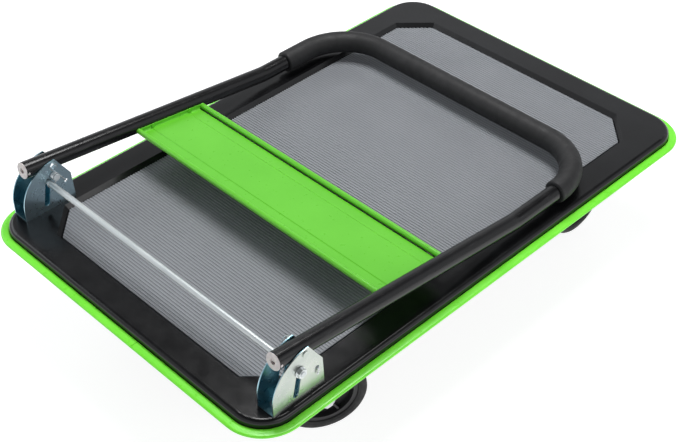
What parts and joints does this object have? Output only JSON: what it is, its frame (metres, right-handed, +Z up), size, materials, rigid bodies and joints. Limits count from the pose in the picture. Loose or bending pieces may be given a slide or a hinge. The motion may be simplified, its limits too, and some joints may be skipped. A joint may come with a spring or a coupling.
{
  "type": "folding platform cart",
  "caption": "Flat steel platform cart on casters, with a ribbed mat, an edge bumper and a push handle that folds down onto the deck and locks upright with a sliding foot bar.",
  "frame": {"origin": "centre of the bounding box, on the floor under the wheels", "axes": "+Z up from the floor; +X from the handle hinges to the free end; +Y to the left of a person who stands at the hinge end and looks along +X"},
  "size_m": [0.908, 0.6, 0.2539],
  "materials": {
    "black_paint": "satin powder coat",
    "grey_mat": "matt, fine ribs",
    "green_strip": "glossy",
    "green_paint": "gloss powder coat",
    "zinc": "bright zinc plate",
    "bright_steel": "polished zinc plate",
    "spring_steel": "zinc-plated wire",
    "black_foam": "matt foam",
    "plug_grey": "matt",
    "hub_grey": "matt moulded",
    "tyre_rubber": "matt rubber"
  },
  "bodies": {
    "deck": {"deck_plate": "black_paint", "stiffener_channels": "black_paint", "ribbed_mat": "grey_mat", "bumper_strip": "green_strip", "bracket_left": "zinc", "bracket_right": "zinc", "bracket_bolts": "bright_steel", "bracket_nuts": "bright_steel", "pivot_pins": "zinc", "pivot_nuts": "bright_steel", "spring_posts": "bright_steel", "release_spring_left": "spring_steel", "release_spring_right": "spring_steel", "caster_studs": "bright_steel", "caster_nuts": "bright_steel", "swivel_plate_left": "zinc", "swivel_plate_right": "zinc", "king_pin_left": "bright_steel", "king_pin_right": "bright_steel", "swivel_balls_left": "bright_steel", "swivel_balls_right": "bright_steel", "fixed_fork_left": "zinc", "fixed_fork_right": "zinc", "axle_bolt_front_left": "bright_steel", "axle_bolt_front_right": "bright_steel", "axle_nut_front_left": "bright_steel", "axle_nut_front_right": "bright_steel", "axle_sleeve_front_left": "bright_steel", "axle_sleeve_front_right": "bright_steel"},
    "handle": {"handle_tube": "black_paint", "grip_sleeve": "black_foam", "handle_panel": "green_paint", "panel_screws": "green_paint", "tube_plugs": "plug_grey", "plug_pins": "plug_grey"},
    "rod": {"release_rod": "bright_steel", "rod_washers": "bright_steel", "rod_nuts": "bright_steel"},
    "fork_left": {"swivel_fork_left": "zinc", "axle_bolt_rear_left": "bright_steel", "axle_nut_rear_left": "bright_steel", "axle_sleeve_rear_left": "bright_steel"},
    "wheel_rear_left": {"wheel_hub_rear_left": "hub_grey", "tyre_rear_left": "tyre_rubber"},
    "wheel_front_left": {"wheel_hub_front_left": "hub_grey", "tyre_front_left": "tyre_rubber"},
    "fork_right": {"swivel_fork_right": "zinc", "axle_bolt_rear_right": "bright_steel", "axle_nut_rear_right": "bright_steel", "axle_sleeve_rear_right": "bright_steel"},
    "wheel_rear_right": {"wheel_hub_rear_right": "hub_grey", "tyre_rear_right": "tyre_rubber"},
    "wheel_front_right": {"wheel_hub_front_right": "hub_grey", "tyre_front_right": "tyre_rubber"}
  },
  "joints": [
    {"name": "handle_fold", "type": "hinge", "parent": "deck", "child": "handle", "pos_m": [-0.3545, 0, 0.237], "axis": [0, -1, 0], "range_deg": [0, 96.7]},
    {"name": "rod_slide", "type": "slide", "parent": "deck", "child": "rod", "axis": [-0.2228, 0, -0.9749], "range_m": [0, 0.0361], "deforming": ["release_spring_left", "release_spring_right"]},
    {"name": "swivel_left", "type": "hinge", "parent": "deck", "child": "fork_left", "pos_m": [-0.303, 0.198, 0.15], "axis": [0, 0, 1], "continuous": true},
    {"name": "spin_rear_left", "type": "hinge", "parent": "fork_left", "child": "wheel_rear_left", "pos_m": [-0.26904, 0.18953, 0.0625], "axis": [0.2419, 0.9703, 0], "continuous": true},
    {"name": "spin_front_left", "type": "hinge", "parent": "deck", "child": "wheel_front_left", "pos_m": [0.296, 0.198, 0.0625], "axis": [0, 1, 0], "continuous": true},
    {"name": "swivel_right", "type": "hinge", "parent": "deck", "child": "fork_right", "pos_m": [-0.303, -0.198, 0.15], "axis": [0, 0, 1], "continuous": true},
    {"name": "spin_rear_right", "type": "hinge", "parent": "fork_right", "child": "wheel_rear_right", "pos_m": [-0.27181, -0.21389, 0.0625], "axis": [0.454, 0.891, 0], "continuous": true},
    {"name": "spin_front_right", "type": "hinge", "parent": "deck", "child": "wheel_front_right", "pos_m": [0.296, -0.198, 0.0625], "axis": [0, 1, 0], "continuous": true}
  ],
  "couplings": [
    {"joint": "rod_slide", "follows": "handle_fold", "m_per_rad": 0.021273}
  ]
}
